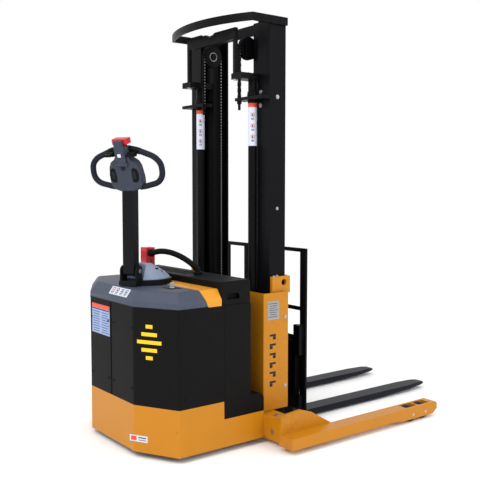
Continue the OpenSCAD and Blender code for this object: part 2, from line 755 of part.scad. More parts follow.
module fork(s) machine() color("#2b2d33") side(s) {
    tip_l = 170;
    heel_r = 14;
    intersection() {
        profile_x(fork_x - fork_w / 2, fork_x + fork_w / 2) polygon([
            [fork_y, fork_top - fork_t], [fork_y, carriage_top - 6],
            [fork_y + fork_t - 6, carriage_top - 6], [fork_y + fork_t, carriage_top - 16],
            [fork_y + fork_t, fork_top + heel_r], [fork_y + fork_t + heel_r, fork_top],
            [fork_tip - 60, fork_top], [fork_tip - 12, fork_top - 4], [fork_tip, fork_top - 14], [fork_tip, fork_top - 20],
            [fork_tip - 420, fork_top - fork_t]]);
        translate([fork_x, 0, 0]) linear_extrude(carriage_top) polygon([
            [-fork_w / 2, fork_y - 1], [fork_w / 2, fork_y - 1], [fork_w / 2, fork_tip - tip_l],
            [fork_w / 2 - 14, fork_tip - 40], [fork_w / 4 - 2, fork_tip], [-fork_w / 4 + 2, fork_tip],
            [-fork_w / 2 + 14, fork_tip - 40], [-fork_w / 2, fork_tip - tip_l]]);
    }
    // hook over the carriage's upper bar
    block([fork_x - 25, fork_y, carriage_top - 7], [fork_x + 25, fork_y + 20, carriage_top + 8]);
    block([fork_x - 25, bar_y + 6, carriage_top + gap], [fork_x + 25, fork_y, carriage_top + 8]);
}

// ---------- steering head and tiller ----------

module tiller_base() machine() color(black) steer_frame() {
    cheek_x = tube_w / 2 + 8;
    translate([0, 0, deck_z + 154]) cylinder(h = lid_top + 2 - deck_z - 154, r = 45);
    translate([0, 0, lid_top + 2]) cylinder(h = 24, r = disc_r);
    translate([0, -tiller_r, 0]) {
        block([-cheek_x - 10, -34, lid_top + 2], [cheek_x + 10, 44, lid_top + 26]);
        both() difference() {
            union() {
                block([cheek_x, -26, lid_top + 26], [cheek_x + 10, 26, pin_z]);
                x_pin(cheek_x, cheek_x + 10, 0, pin_z, 26);
            }
            x_pin(cheek_x - 1, cheek_x + 11, 0, pin_z, tilt_pin_r);
        }
        x_pin(-cheek_x - 10, cheek_x + 10, 0, pin_z, tilt_pin_r);
    }
}

module tiller_cover() machine() color(silver) steer_frame() {
    base_z = lid_top + 26;
    difference() {
        hull() {
            translate([0, 0, base_z]) cylinder(h = 6, r = disc_r - 8, $fn = 32);
            translate([0, 34, base_z]) cylinder(h = 26, r = disc_r - 50, $fn = 32);
            translate([-58, -tiller_r + 58, base_z]) cube([116, 30, 78]);
        }
        // room for the tube and its cheeks
        block([-tube_w / 2 - 20, -disc_r - 60, base_z - 1], [tube_w / 2 + 20, -tiller_r + 54, base_z + 120]);
    }
}

module tiller_tube() machine() color(black) tiller_frame() difference() {
    union() {
        block([-tube_w / 2, -tube_d / 2, 0], [tube_w / 2, tube_d / 2, tube_l]);
        x_pin(-tube_w / 2, tube_w / 2, 0, 0, tube_d / 2);
    }
    x_pin(-tube_w / 2 - 1, tube_w / 2 + 1, 0, 0, tilt_pin_r + run_fit);
    block([-tube_w / 2 + tube_wall, -tube_d / 2 + tube_wall, tilt_pin_r + 26],
        [tube_w / 2 - tube_wall, tube_d / 2 - tube_wall, tube_l + 1]);
}

// Outline of the hub and its neck seen from the operator's side
hub_half = [[31, -10], [70, 14], [86, 30], [88, 62], [80, 120], [62, 146], [40, 158], [36, neck_top]];

module hub_outline() polygon(concat(hub_half,
    [for (i = [len(hub_half) - 1:-1:0]) [-hub_half[i][0], hub_half[i][1]]]));

module tiller_head() machine() color(grey) head_frame() difference() {
    union() {
        translate([0, 26, 0]) rotate([90, 0, 0]) linear_extrude(52) hub_outline();
        both() for (i = [0:len(grip_path) - 2]) {
            bar(grip_path[i], grip_path[i + 1], grip_r);
            translate(grip_path[i + 1]) sphere(grip_knot_r);
        }
    }
    // flat foot on the tube's end
    rotate([-head_lean, 0, 0]) block([-80, -60, -60], [80, 60, 0]);
    // bore of the throttle shaft and the buttons' pockets
    x_pin(-60, 60, throttle_y, throttle_z, 6 + run_fit);
    block([-23, -15, neck_top - 28], [23, 15, neck_top + 1]);
    translate([0, -10, 112]) rotate([90, 0, 0]) cylinder(h = 30, r = 11);
    both() block([48, -27, 62], [66, -14, 98]);
}

module throttle() machine() color(black) head_frame() {
    x_pin(-80, 80, throttle_y, throttle_z, 6);
    both() translate([0, throttle_y, throttle_z]) {
        block([42, -30, -6], [78, 9, 6]);
        x_pin(42, 78, 0, 0, 12);
    }
}

module belly_button() machine() color("#d04048") head_frame() {
    block([-22, -14, neck_top - 18], [22, 14, neck_top + 9]);
    block([-40, -20, neck_top + 8], [40, 24, head_h]);
}

module horn_button() machine() color("#d8a020") head_frame()
    translate([0, -13, 112]) rotate([90, 0, 0]) cylinder(h = 17, r = 10.6);

module hub_button(s) machine() color("#d8dce0") head_frame() side(s)
    block([48.4, -30, 62.4], [65.6, -17, 97.6]);

base_frame();
rear_cover(-1);  // rear_cover_left
rear_cover(1);  // rear_cover_right
top_lid();
lid_strap();
battery_box();
battery_cover();
battery_tray();
battery();
battery_socket();
disconnect_plug();
battery_cable();
hydraulic_unit();
motor_controller();
ignition_key();
cross_beam();
leg_bolts();
leg(-1);  // leg_left
leg(1);  // leg_right
load_wheel(-1, load_rear_y);  // load_wheel_left_rear
load_wheel(-1, load_front_y);  // load_wheel_left_front
load_wheel(1, load_rear_y);  // load_wheel_right_rear
load_wheel(1, load_front_y);  // load_wheel_right_front
outer_mast(-1);  // outer_mast_left
outer_mast(1);  // outer_mast_right
outer_mast_ties();
mast_cover(-1);  // mast_cover_left
mast_cover(1);  // mast_cover_right
lifting_lugs();
lift_cylinders();
lift_rods();
inner_mast(-1);  // inner_mast_left
inner_mast(1);  // inner_mast_right
inner_mast_ties();
top_guard();
chain_sheaves();
lift_chains();
mast_rollers();
carriage_frame();
load_backrest();
carriage_rollers(upper_roller_z);  // carriage_rollers_upper
carriage_rollers(lower_roller_z);  // carriage_rollers_lower
fork(-1);  // fork_left
fork(1);  // fork_right
tiller_base();
tiller_cover();
drive_motor();
drive_gearbox();
drive_wheel();
tiller_tube();
tiller_head();
throttle();
belly_button();
horn_button();
hub_button(1);  // raise_button
hub_button(-1);  // lower_button
caster_fork(-1);  // caster_fork_left
caster_fork(1);  // caster_fork_right
caster_wheel(-1);  // caster_wheel_left
caster_wheel(1);  // caster_wheel_right
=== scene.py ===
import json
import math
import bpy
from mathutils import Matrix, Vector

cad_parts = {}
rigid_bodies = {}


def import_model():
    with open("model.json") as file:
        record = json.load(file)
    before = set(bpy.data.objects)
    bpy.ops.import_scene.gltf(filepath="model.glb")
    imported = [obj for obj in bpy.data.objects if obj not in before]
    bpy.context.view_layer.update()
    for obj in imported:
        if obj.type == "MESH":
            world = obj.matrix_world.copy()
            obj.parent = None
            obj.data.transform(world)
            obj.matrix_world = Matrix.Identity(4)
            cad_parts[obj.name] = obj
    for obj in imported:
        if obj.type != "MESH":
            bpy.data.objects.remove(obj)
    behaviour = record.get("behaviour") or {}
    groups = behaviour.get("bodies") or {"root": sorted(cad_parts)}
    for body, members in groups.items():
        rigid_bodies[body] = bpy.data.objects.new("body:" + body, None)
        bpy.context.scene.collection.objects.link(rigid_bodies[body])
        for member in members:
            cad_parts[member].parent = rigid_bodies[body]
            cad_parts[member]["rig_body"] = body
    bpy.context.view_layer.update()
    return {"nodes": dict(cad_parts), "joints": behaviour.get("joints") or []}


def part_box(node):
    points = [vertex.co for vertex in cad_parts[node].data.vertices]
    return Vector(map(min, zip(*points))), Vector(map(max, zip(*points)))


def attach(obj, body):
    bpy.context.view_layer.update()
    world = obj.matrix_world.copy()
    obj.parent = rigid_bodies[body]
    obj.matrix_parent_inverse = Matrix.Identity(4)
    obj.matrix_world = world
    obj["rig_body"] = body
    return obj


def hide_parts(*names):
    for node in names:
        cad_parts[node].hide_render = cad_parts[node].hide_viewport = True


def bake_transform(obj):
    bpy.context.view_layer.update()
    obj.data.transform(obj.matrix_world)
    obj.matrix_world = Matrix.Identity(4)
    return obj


bl_info = {
    "name": "Walkie stacker",
    "version": (1, 0, 0),
    "blender": (4, 5, 0),
    "location": "View3D > Sidebar > Stacker",
    "description": "Builds a pedestrian straddle stacker with its mast, forks and tiller",
    "category": "Object",
}

import bmesh
import bpy
from mathutils import Matrix, Vector

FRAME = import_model()
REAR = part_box("base_frame")[0].y
JOINTS = {j["name"]: j for j in FRAME["joints"]}
FLOOR_SIZE = 40.0

MERGE_DISTANCE = 0.00002
SMOOTH_ANGLE = math.radians(38)
TUBE_LENGTH = 0.386  # tilt pin to the head's foot
HEAD_LEAN = math.radians(18)
SHEAVE_RADIUS = 54  # to the middle of the chain, in millimetres
CHAIN_ANCHOR = 1694  # height of the chains' fixed ends, in millimetres
CYLINDER_RADIUS = 26  # of the gland, in millimetres
OUTER_PLATES = (-8.1, -2.7, 2.7, 8.1)
INNER_PLATES = (-5.4, 0, 5.4)


def srgb(r, g, b):
    """Turns a screen colour (0 to 255) into the linear values that materials take."""
    out = []
    for c in (r, g, b):
        c = c / 255
        out.append(c / 12.92 if c <= 0.04045 else ((c + 0.055) / 1.055) ** 2.4)
    return tuple(out)


# ---------- places ----------


def at(x, y, z):
    """A point in millimetres, with y from the rear face of the chassis."""
    return Vector((x / 1000, REAR + y / 1000, z / 1000))


def cylinder_axis():
    """Distance of a lift cylinder's axis from the middle, and from the rear face, in millimetres."""
    lo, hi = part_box("lift_cylinders")
    return hi.x * 1000 - CYLINDER_RADIUS, (lo.y - REAR) * 1000 + CYLINDER_RADIUS


def tiller_matrix():
    """The tiller's own frame: origin on the tilt pin, +Z along the tube."""
    tilt = JOINTS["tiller_tilt"]
    turn = math.atan2(tilt["axis"][1], tilt["axis"][0])
    return Matrix.Translation(Vector(tilt["pos_m"])) @ Matrix.Rotation(turn, 4, "Z")


def head_matrix():
    """The tiller head's frame, leaning back on the end of the tube."""
    return tiller_matrix() @ Matrix.Translation((0, 0, TUBE_LENGTH)) @ Matrix.Rotation(HEAD_LEAN, 4, "X")


# ---------- modelling helpers ----------


def clear():
    if bpy.context.object is not None and bpy.context.object.mode != "OBJECT":
        bpy.ops.object.mode_set(mode="OBJECT")
    bpy.ops.object.select_all(action="DESELECT")


def only(*objs):
    clear()
    for o in objs:
        o.select_set(True)
    bpy.context.view_layer.objects.active = objs[0]
    return objs[0]


def settle(obj):
    """Applies the object's place, turn and scale to its mesh."""
    only(obj)
    bpy.ops.object.transform_apply(location=True, rotation=True, scale=True)
    return obj


def place(obj, matrix):
    obj.matrix_world = matrix @ obj.matrix_world
    return settle(obj)


def apply_all(obj):
    only(obj)
    for m in list(obj.modifiers):
        bpy.ops.object.modifier_apply(modifier=m.name)
    return obj


def rounded(obj, width, segments=2, limit=35):
    """Bevels every sharp edge, then gives the faces smooth shading."""
    if width > 0:
        m = obj.modifiers.new("Rounded edges", "BEVEL")
        m.width = width / 1000
        m.segments = segments
        m.limit_method = "ANGLE"
        m.angle_limit = math.radians(limit)
        m.harden_normals = False
        m.use_clamp_overlap = True
        apply_all(obj)
    only(obj)
    bpy.ops.object.shade_smooth_by_angle(angle=SMOOTH_ANGLE)
    m = obj.modifiers.new("Weighted normals", "WEIGHTED_NORMAL")
    m.keep_sharp = True
    apply_all(obj)
    return obj


def block(lo, hi):
    """A box between two corners in millimetres."""
    a, b = at(*lo), at(*hi)
    clear()
    bpy.ops.mesh.primitive_cube_add(size=1, location=(a + b) / 2)
    o = bpy.context.object
    o.scale = b - a
    return settle(o)


def local_block(lo, hi, matrix):
    """A box in a moved frame, in millimetres."""
    a, b = Vector(lo) / 1000, Vector(hi) / 1000
    clear()
    bpy.ops.mesh.primitive_cube_add(size=1, location=(a + b) / 2)
    o = bpy.context.object
    o.scale = b - a
    settle(o)
    return place(o, matrix)


def rod(p, q, r, sides=32):
    """A round bar between two points in metres, of radius r in millimetres."""
    d = q - p
    clear()
    bpy.ops.mesh.primitive_cylinder_add(vertices=sides, radius=r / 1000, depth=d.length)
    o = bpy.context.object
    return place(o, Matrix.Translation((p + q) / 2) @ d.to_track_quat("Z", "Y").to_matrix().to_4x4())


def torus(radius, thick, centre, sides, around, turn=(0, 0, 0)):
    """A ring in metres, with that many sides round its section and round itself."""
    clear()
    bpy.ops.mesh.primitive_torus_add(
        major_radius=radius, minor_radius=thick, major_segments=around, minor_segments=sides,
        location=centre, rotation=turn,
    )
    return rounded(settle(bpy.context.object), 0)


def join(objs):
    if len(objs) > 1:
        only(*objs)
        bpy.ops.object.join()
    return objs[0]


def sweep(points, r, matrix=None, steps=10, sides=5):
    """A smooth tube through points in metres, of radius r in millimetres, with closed ends."""
    data = bpy.data.curves.new("Sweep", "CURVE")
    data.dimensions = "3D"
    data.bevel_depth = r / 1000
    data.bevel_resolution = sides
    data.resolution_u = steps
    data.use_fill_caps = True
    s = data.splines.new("BEZIER")
    s.bezier_points.add(len(points) - 1)
    for bp, p in zip(s.bezier_points, points):
        bp.co = p
        bp.handle_left_type = bp.handle_right_type = "AUTO"
    o = bpy.data.objects.new("Sweep", data)
    bpy.context.scene.collection.objects.link(o)
    only(o)
    bpy.ops.object.convert(target="MESH")
    o = bpy.context.object
    if matrix is not None:
        place(o, matrix)
    return o


def slab(outline, depth, edge, matrix, smooth=False):
    """A filled outline (x, z in millimetres), depth thick about its own plane, with round edges."""
    data = bpy.data.curves.new("Slab", "CURVE")
    data.dimensions = "2D"
    data.fill_mode = "BOTH"
    data.extrude = (depth / 2 - edge) / 1000
    data.bevel_depth = edge / 1000
    data.bevel_resolution = 4
    data.offset = -edge / 1000
    data.resolution_u = 8
    s = data.splines.new("BEZIER" if smooth else "POLY")
    if smooth:
        s.bezier_points.add(len(outline) - 1)
        for bp, p in zip(s.bezier_points, outline):
            bp.co = (p[0] / 1000, p[1] / 1000, 0)
            bp.handle_left_type = bp.handle_right_type = "AUTO"
    else:
        s.points.add(len(outline) - 1)
        for sp, p in zip(s.points, outline):
            sp.co = (p[0] / 1000, p[1] / 1000, 0, 1)
    s.use_cyclic_u = True
    o = bpy.data.objects.new("Slab", data)
    bpy.context.scene.collection.objects.link(o)
    only(o)
    bpy.ops.object.convert(target="MESH")
    o = bpy.context.object
    bpy.ops.object.mode_set(mode="EDIT")
    bpy.ops.mesh.select_all(action="SELECT")
    bpy.ops.mesh.remove_doubles(threshold=MERGE_DISTANCE)
    bpy.ops.mesh.normals_make_consistent(inside=False)
    bpy.ops.object.mode_set(mode="OBJECT")
    return place(o, matrix @ Matrix.Rotation(math.radians(90), 4, "X"))


def outer_edges(bm, thin):
    """Convex edges between two wide faces that look away from the middle of the mesh."""
    centre = sum((v.co for v in bm.verts), Vector()) / max(1, len(bm.verts))

    def wide_and_outward(f):
        width = f.calc_area() / max(1e-9, 0.5 * f.calc_perimeter())
        return (f.calc_center_median() - centre).dot(f.normal) > 0 and width > thin / 1000

    for e in bm.edges:
        if len(e.link_faces) == 2 and e.is_convex and e.calc_face_angle(0) > 0.3 and e.calc_length() > 0.03:
            if all(wide_and_outward(f) for f in e.link_faces):
                yield e


def softened(node, slot, width=1.0, segments=2, limit=35, big=0, thin=7, finish=None):
    """The part's own form with its edges eased, as a made piece has them."""
    src = FRAME["nodes"][node]
    body = src["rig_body"]
    only(src)
    bpy.ops.object.duplicate()
    o = bpy.context.view_layer.objects.active
    for key in [k for k in o.keys() if k.startswith("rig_")]:
        del o[key]
    o.parent = None
    o.matrix_world = Matrix.Identity(4)
    o.name = node + "_made"
    only(o)
    bpy.ops.object.mode_set(mode="EDIT")
    bpy.ops.mesh.select_all(action="SELECT")
    bpy.ops.mesh.remove_doubles(threshold=MERGE_DISTANCE)
    bpy.ops.mesh.customdata_custom_splitnormals_clear()
    bpy.ops.mesh.dissolve_limited(angle_limit=math.radians(0.6), use_dissolve_boundaries=False)
    if big > 0:
        bpy.ops.mesh.select_all(action="DESELECT")
        bpy.ops.mesh.select_mode(type="EDGE")
        bm = bmesh.from_edit_mesh(o.data)
        bm.normal_update()
        found = 0
        for e in outer_edges(bm, thin):
            e.select = True
            found += 1
        bmesh.update_edit_mesh(o.data)
        if found:
            bpy.ops.mesh.bevel(offset=big / 1000, segments=5, affect="EDGES", clamp_overlap=True)
    bpy.ops.mesh.select_mode(type="VERT")
    bpy.ops.object.mode_set(mode="OBJECT")
    rounded(o, width, segments, limit)
    return dress(o, node + "_made", body, slot, node, finish=finish)


def dress(obj, name, body, slot, *nodes, finish=None):
    """Names a finished piece, gives it its finish and lets it ride its body."""
    obj.name = name
    if finish is not None or lacks_finish(obj):
        obj.data.materials.clear()
        obj.data.materials.append(made_of(finish or slot))
    if nodes:
        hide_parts(*nodes)
    if body is not None:
        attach(obj, body)
    return obj


def lacks_finish(obj):
    """True while the mesh has no finish of this file's own."""
    return not any(m is not None and m.name.startswith("Finish ") for m in obj.data.materials)


def paint(obj, finish):
    obj.data.materials.clear()
    obj.data.materials.append(made_of(finish))
    return obj


def sticker(name, body, slot, target, origin, direction, parts, up=(0, 0, 1)):
    """Thin flat pieces laid on the face that a line meets, each (x, y, width, height, lift, finish)."""
    hit, spot, normal, _ = target.ray_cast(origin, Vector(direction).normalized())
    if not hit:
        raise RuntimeError(name + ": nothing to stick to")
    across = Vector(up).cross(normal).normalized()
    top = normal.cross(across).normalized()
    turn = Matrix((across, top, normal)).transposed().to_4x4()
    made = []
    for x, y, w, h, lift, finish in parts:
        clear()
        bpy.ops.mesh.primitive_cube_add(size=1)
        o = bpy.context.object
        o.scale = (w / 1000, h / 1000, (lift + 0.6) / 1000)
        settle(o)
        o.location = (x / 1000, y / 1000, (lift - 0.6) / 2000)
        settle(o)
        m = o.modifiers.new("Edge", "BEVEL")
        m.width = min(0.15, lift * 0.4) / 1000
        m.segments = 1
        apply_all(o)
        paint(o, finish)
        made.append(place(o, Matrix.Translation(spot) @ turn))
    return dress(join(made), name, body, slot)


def bolt_at(p, axis, size=9, washer=True, finish="bare_steel"):
    """A hexagon bolt head with its washer; size is the head's radius in millimetres."""
    axis = Vector(axis).normalized()
    head = rod(p, p + axis * size * 0.00072, size, 6)
    rounded(head, size * 0.08, 2, 30)
    made = [paint(head, finish)]
    if washer:
        ring = rod(p - axis * 0.0004, p + axis * 0.0018, size * 1.35, 24)
        made.append(paint(rounded(ring, 0.4, 1, 30), finish))
    return join(made)


def screw_at(p, axis, r=6, finish="control_black"):
    """A pan-head screw with a socket."""
    axis = Vector(axis).normalized()
    clear()
    bpy.ops.mesh.primitive_cylinder_add(vertices=20, radius=r / 1000, depth=0.003)
    o = bpy.context.object
    bpy.ops.object.mode_set(mode="EDIT")
    bpy.ops.mesh.select_mode(type="FACE")
    bpy.ops.mesh.select_all(action="DESELECT")
    bm = bmesh.from_edit_mesh(o.data)
    for f in bm.faces:
        if f.normal.z > 0.9:
            f.select = True
    bmesh.update_edit_mesh(o.data)
    bpy.ops.mesh.inset(thickness=r * 0.00045)
    bpy.ops.transform.translate(value=(0, 0, -0.0016))
    bpy.ops.mesh.select_mode(type="VERT")
    bpy.ops.object.mode_set(mode="OBJECT")
    rounded(o, 0.5, 2, 30)
    place(o, Matrix.Translation(p) @ axis.to_track_quat("Z", "Y").to_matrix().to_4x4())
    return paint(o, finish)


# ---------- finishes ----------

# name: screen colour, roughness, metallic, grain depth, grain size, mottling, edge colour (worn paint, and on
# the pale finishes a painted edge highlight), coat
FINISHES = {
    "frame_yellow": ((186, 120, 12), 0.40, 0.0, 0.10, 260, 0.05, (150, 96, 40), 0.06),
    "cover_black": ((13, 12, 12), 0.52, 0.0, 0.30, 1500, 0.04, (24, 23, 23), 0.0),
    "lid_grey": ((64, 70, 85), 0.50, 0.0, 0.30, 1400, 0.05, (92, 99, 115), 0.0),
    "mast_black": ((9, 9, 12), 0.38, 0.0, 0.12, 300, 0.04, (22, 22, 26), 0.0),
    "fork_grey": ((23, 25, 32), 0.40, 0.0, 0.16, 320, 0.08, (120, 122, 128), 0.0),
    "bare_steel": ((176, 178, 182), 0.32, 0.95, 0.10, 700, 0.06, None, 0.0),
    "rod_chrome": ((214, 216, 220), 0.09, 1.0, 0.02, 600, 0.02, None, 0.0),
    "chain_steel": ((150, 150, 152), 0.34, 0.9, 0.15, 500, 0.15, None, 0.0),
    "cast_grey": ((70, 72, 76), 0.55, 0.2, 0.45, 420, 0.10, (140, 140, 142), 0.0),
    "unit_alloy": ((160, 163, 166), 0.42, 0.9, 0.30, 500, 0.08, None, 0.0),
    "battery_case": ((50, 52, 56), 0.55, 0.0, 0.20, 700, 0.08, (110, 110, 112), 0.0),
    "wheel_tread": ((38, 37, 39), 0.62, 0.0, 0.25, 900, 0.12, (90, 88, 86), 0.0),
    "cable_rubber": ((14, 14, 15), 0.50, 0.0, 0.20, 1200, 0.08, None, 0.0),
    "tube_black": ((17, 18, 21), 0.38, 0.0, 0.10, 400, 0.04, (36, 37, 42), 0.0),
    "head_grey": ((48, 54, 68), 0.50, 0.0, 0.35, 1600, 0.06, (112, 122, 140), 0.0),
    "cover_silver": ((126, 139, 162), 0.42, 0.0, 0.15, 900, 0.05, (176, 186, 204), 0.1),
    "control_black": ((13, 13, 15), 0.45, 0.0, 0.25, 1300, 0.05, None, 0.0),
    "button_red": ((184, 28, 36), 0.36, 0.0, 0.08, 900, 0.04, (232, 120, 120), 0.2),
    "button_yellow": ((222, 160, 28), 0.36, 0.0, 0.08, 900, 0.04, None, 0.2),
    "button_white": ((226, 228, 232), 0.36, 0.0, 0.08, 900, 0.03, None, 0.2),
    "loop_grey": ((30, 33, 41), 0.55, 0.0, 0.40, 1700, 0.08, None, 0.0),
    "label_white": ((200, 206, 220), 0.42, 0.0, 0.05, 300, 0.02, None, 0.1),
    "label_blue": ((136, 156, 196), 0.42, 0.0, 0.05, 300, 0.03, None, 0.1),
    "label_red": ((214, 74, 44), 0.42, 0.0, 0.05, 300, 0.03, None, 0.1),
    "label_grey": ((150, 152, 154), 0.40, 0.5, 0.05, 300, 0.05, None, 0.0),
    "label_ink": ((40, 40, 46), 0.45, 0.0, 0.05, 300, 0.03, None, 0.0),
    "mark_yellow": ((236, 190, 18), 0.40, 0.0, 0.05, 300, 0.03, None, 0.1),
    "strap_yellow": ((214, 142, 24), 0.42, 0.0, 0.12, 500, 0.04, (196, 140, 70), 0.2),
    "shade_black": ((6, 6, 7), 0.60, 0.0, 0.20, 900, 0.05, None, 0.0),
}


def made_of(name):
    """The finish of that name, made the first time it is asked for."""
    title = "Finish " + name.replace("_", " ")
    if title in bpy.data.materials:
        return bpy.data.materials[title]
    colour, rough, metal, grain, size, mottle, edge_wear_and_highlight, coat = FINISHES[name]
    colour = srgb(*colour)
    chosen = bpy.context.scene.stacker_look
    if name == "frame_yellow":
        colour = tuple(chosen.frame_colour)
    if name == "lid_grey":
        colour = tuple(chosen.lid_colour)
    m = bpy.data.materials.new(title)
    m.use_nodes = True
    n, l = m.node_tree.nodes, m.node_tree.links
    shader = n["Principled BSDF"]
    place_on = n.new("ShaderNodeTexCoord")
    cloud = n.new("ShaderNodeTexNoise")
    cloud.inputs["Scale"].default_value = 7
    cloud.inputs["Detail"].default_value = 6
    l.new(place_on.outputs["Object"], cloud.inputs["Vector"])
    tone = n.new("ShaderNodeMix")
    tone.data_type = "RGBA"
    tone.inputs[6].default_value = tuple(c * (1 - mottle) for c in colour) + (1,)
    tone.inputs[7].default_value = tuple(min(1, c * (1 + mottle)) for c in colour) + (1,)
    l.new(cloud.outputs[0], tone.inputs[0])
    last = tone.outputs[2]
    # lighter colour on convex edges, broken up by noise: partly worn paint, partly a painted highlight along
    # edges that catch the light
    if edge_wear_and_highlight:
        shape = n.new("ShaderNodeNewGeometry")
        edge = n.new("ShaderNodeMapRange")
        edge.inputs[1].default_value = 0.53
        edge.inputs[2].default_value = 0.62
        l.new(shape.outputs["Pointiness"], edge.inputs[0])
        chips = n.new("ShaderNodeTexNoise")
        chips.inputs["Scale"].default_value = 45
        chips.inputs["Detail"].default_value = 8
        l.new(place_on.outputs["Object"], chips.inputs["Vector"])
        cut = n.new("ShaderNodeMapRange")
        cut.inputs[1].default_value = 0.48
        cut.inputs[2].default_value = 0.66
        cut.inputs[4].default_value = 0.55
        l.new(chips.outputs[0], cut.inputs[0])
        both = n.new("ShaderNodeMath")
        both.operation = "MULTIPLY"
        l.new(edge.outputs[0], both.inputs[0])
        l.new(cut.outputs[0], both.inputs[1])
        rub = n.new("ShaderNodeMix")
        rub.data_type = "RGBA"
        rub.inputs[7].default_value = srgb(*edge_wear_and_highlight) + (1,)
        l.new(both.outputs[0], rub.inputs[0])
        l.new(last, rub.inputs[6])
        last = rub.outputs[2]
    l.new(last, shader.inputs["Base Color"])
    smear = n.new("ShaderNodeTexNoise")
    smear.inputs["Scale"].default_value = 60
    smear.inputs["Detail"].default_value = 5
    l.new(place_on.outputs["Object"], smear.inputs["Vector"])
    gloss = n.new("ShaderNodeMapRange")
    gloss.inputs[3].default_value = max(0.03, rough - 0.04)
    gloss.inputs[4].default_value = min(1, rough + 0.05)
    l.new(smear.outputs[0], gloss.inputs[0])
    l.new(gloss.outputs[0], shader.inputs["Roughness"])
    pores = n.new("ShaderNodeTexNoise")
    pores.inputs["Scale"].default_value = size
    pores.inputs["Detail"].default_value = 3
    l.new(place_on.outputs["Object"], pores.inputs["Vector"])
    bump = n.new("ShaderNodeBump")
    bump.inputs["Strength"].default_value = grain
    bump.inputs["Distance"].default_value = 0.0005
    l.new(pores.outputs[0], bump.inputs["Height"])
    l.new(bump.outputs[0], shader.inputs["Normal"])
    shader.inputs["Metallic"].default_value = metal
    shader.inputs["Coat Weight"].default_value = coat
    shader.inputs["Coat Roughness"].default_value = 0.25
    if metal < 0.5:
        shader.inputs["Specular IOR Level"].default_value = 0.08 if max(FINISHES[name][0]) < 60 else 0.24
    return m


class StackerLook(bpy.types.PropertyGroup):
    """Sizes and colours that a user may change."""

    frame_colour: bpy.props.FloatVectorProperty(
        name="Frame colour", description="Paint of the frame, legs and mast covers",
        subtype="COLOR", size=3, min=0, max=1, default=srgb(*FINISHES["frame_yellow"][0]),
    )
    lid_colour: bpy.props.FloatVectorProperty(
        name="Lid colour", description="Colour of the moulded lid",
        subtype="COLOR", size=3, min=0, max=1, default=srgb(*FINISHES["lid_grey"][0]),
    )
    lid_round: bpy.props.FloatProperty(
        name="Lid rounding", description="Rounding of the moulded lid's shoulders",
        unit="LENGTH", default=0.009, min=0.002, max=0.014,
    )
    cover_round: bpy.props.FloatProperty(
        name="Cover rounding", description="Rounding of the black covers' outer corners",
        unit="LENGTH", default=0.009, min=0.002, max=0.014,
    )
    loop_radius: bpy.props.FloatProperty(
        name="Hand loop radius", description="Radius of the hand loops' tube",
        unit="LENGTH", default=0.014, min=0.010, max=0.016,
    )
    chain_pitch: bpy.props.FloatProperty(
        name="Chain pitch", description="Distance between two pins of the lift chains",
        unit="LENGTH", default=0.015875, min=0.012, max=0.026,
    )
    light_power: bpy.props.FloatProperty(
        name="Key light", description="Power of the main softbox",
        subtype="POWER", default=120, min=10, max=800,
    )


# ---------- operators ----------


class STACKER_OT_chassis(bpy.types.Operator):
    """Skirt, rear covers, battery box and tray"""

    bl_idname = "stacker.chassis"
    bl_label = "Chassis"

    def execute(self, context):
        look = context.scene.stacker_look
        r = look.cover_round * 1000
        softened("base_frame", "frame_yellow", 1.0, big=5)
        for side in ("left", "right"):
            softened("rear_cover_" + side, "cover_black", 0.6, big=r, thin=6)
        softened("battery_box", "cover_black", 0.8, big=r * 0.6, thin=6)
        softened("battery_tray", "cover_black", 1.2, big=3, thin=6)
        softened("battery", "battery_case", 1.5)
        softened("hydraulic_unit", "unit_alloy", 2.0)
        softened("motor_controller", "unit_alloy", 1.0)
        # screws that hold the covers
        made = [screw_at(at(x, -0.8, z), (0, -1, 0), 6) for x in (26, -26, 200, -200) for z in (324, 603)]
        made += [
            screw_at(at(s * 428.6, y, z), (s, 0, 0), 6)
            for s in (-1, 1) for y in (150, 330) for z in (290, 660)
        ]
        dress(join(made), "cover_screws", "chassis", "control_black")
        # painted shade: a thin dark strip standing for the shadow gap between the two rear covers
        strip = block((-1.2, -0.6, 250), (1.2, 0.4, 698))
        dress(paint(rounded(strip, 0.3, 1), "shade_black"), "cover_gap_painted_shade", "chassis", "control_black")
        return {"FINISHED"}


class STACKER_OT_lid(bpy.types.Operator):
    """Moulded lid with its strap"""

    bl_idname = "stacker.lid"
    bl_label = "Lid and strap"

    def execute(self, context):
        look = context.scene.stacker_look
        softened("top_lid", "lid_grey", 1.2, big=look.lid_round * 1000, thin=6)
        softened("lid_strap", "frame_yellow", 1.5, big=5, thin=6, finish="strap_yellow")
        # painted shade: a dark plate standing for the shade in the key's recess, and the key
        recess_shade_plate = block((214, 160, 774), (286, 222, 778))
        dress(paint(rounded(recess_shade_plate, 1.2, 3), "control_black"), "key_recess_shade", "chassis", "control_black")
        softened("ignition_key", "bare_steel", 0.6)
        # painted shadow: thin dark rods along the line where the lid overhangs the covers, standing for the
        # shade under the lid's lip
        overhang_shadow_rods = []
        for a, b in (
            ((-217, 0), (217, 0)),
            ((217, 0), (428, 113)),
            ((428, 113), (428, 272)),
            ((-217, 0), (-428, 113)),
            ((-428, 113), (-428, 272)),
        ):
            p, q = at(a[0], a[1], 700.5), at(b[0], b[1], 700.5)
            overhang_shadow_rods.append(rod(p, q, 2.2, 8))
        # the rods are painted control black as a painted shadow line under the overhang
        lip = join([paint(o, "control_black") for o in overhang_shadow_rods])
        rounded(lip, 0, 1)
        dress(lip, "lid_overhang_shadow_line", "chassis", "lid_grey")
        return {"FINISHED"}


